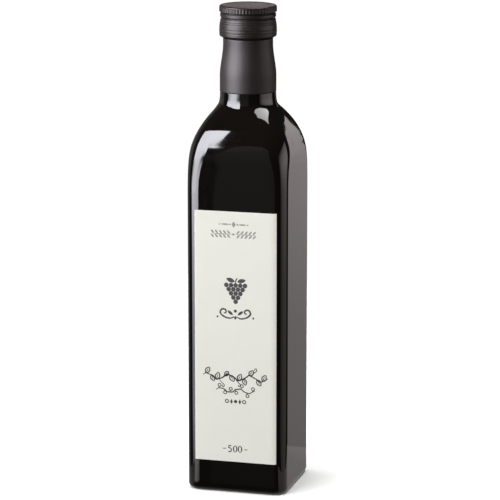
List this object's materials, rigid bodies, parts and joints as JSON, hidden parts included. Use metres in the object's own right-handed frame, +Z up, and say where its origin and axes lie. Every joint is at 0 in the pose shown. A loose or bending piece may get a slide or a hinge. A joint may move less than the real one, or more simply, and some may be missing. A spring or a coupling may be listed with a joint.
{
  "type": "vinegar bottle",
  "caption": "Tall square bottle of dark glass with rounded corners and shoulders, black screw cap, black neck sleeve and a tall cream label.",
  "frame": {"origin": "middle of the base, on the surface the bottle stands on", "axes": "+Z up along the bottle, -Y out of the labelled front face, +X to the right seen from the front"},
  "size_m": [0.057, 0.0572, 0.2702],
  "materials": {
    "dark_glass": "polished, full of near-black vinegar, so it reads opaque",
    "sleeve_film": "satin shrink film",
    "cap_coating": "satin black lacquer on aluminium",
    "label_paper": "uncoated cream paper"
  },
  "bodies": {
    "root": {"bottle": "dark_glass", "neck_sleeve": "sleeve_film", "cap": "cap_coating", "label": "label_paper"}
  },
  "joints": []
}
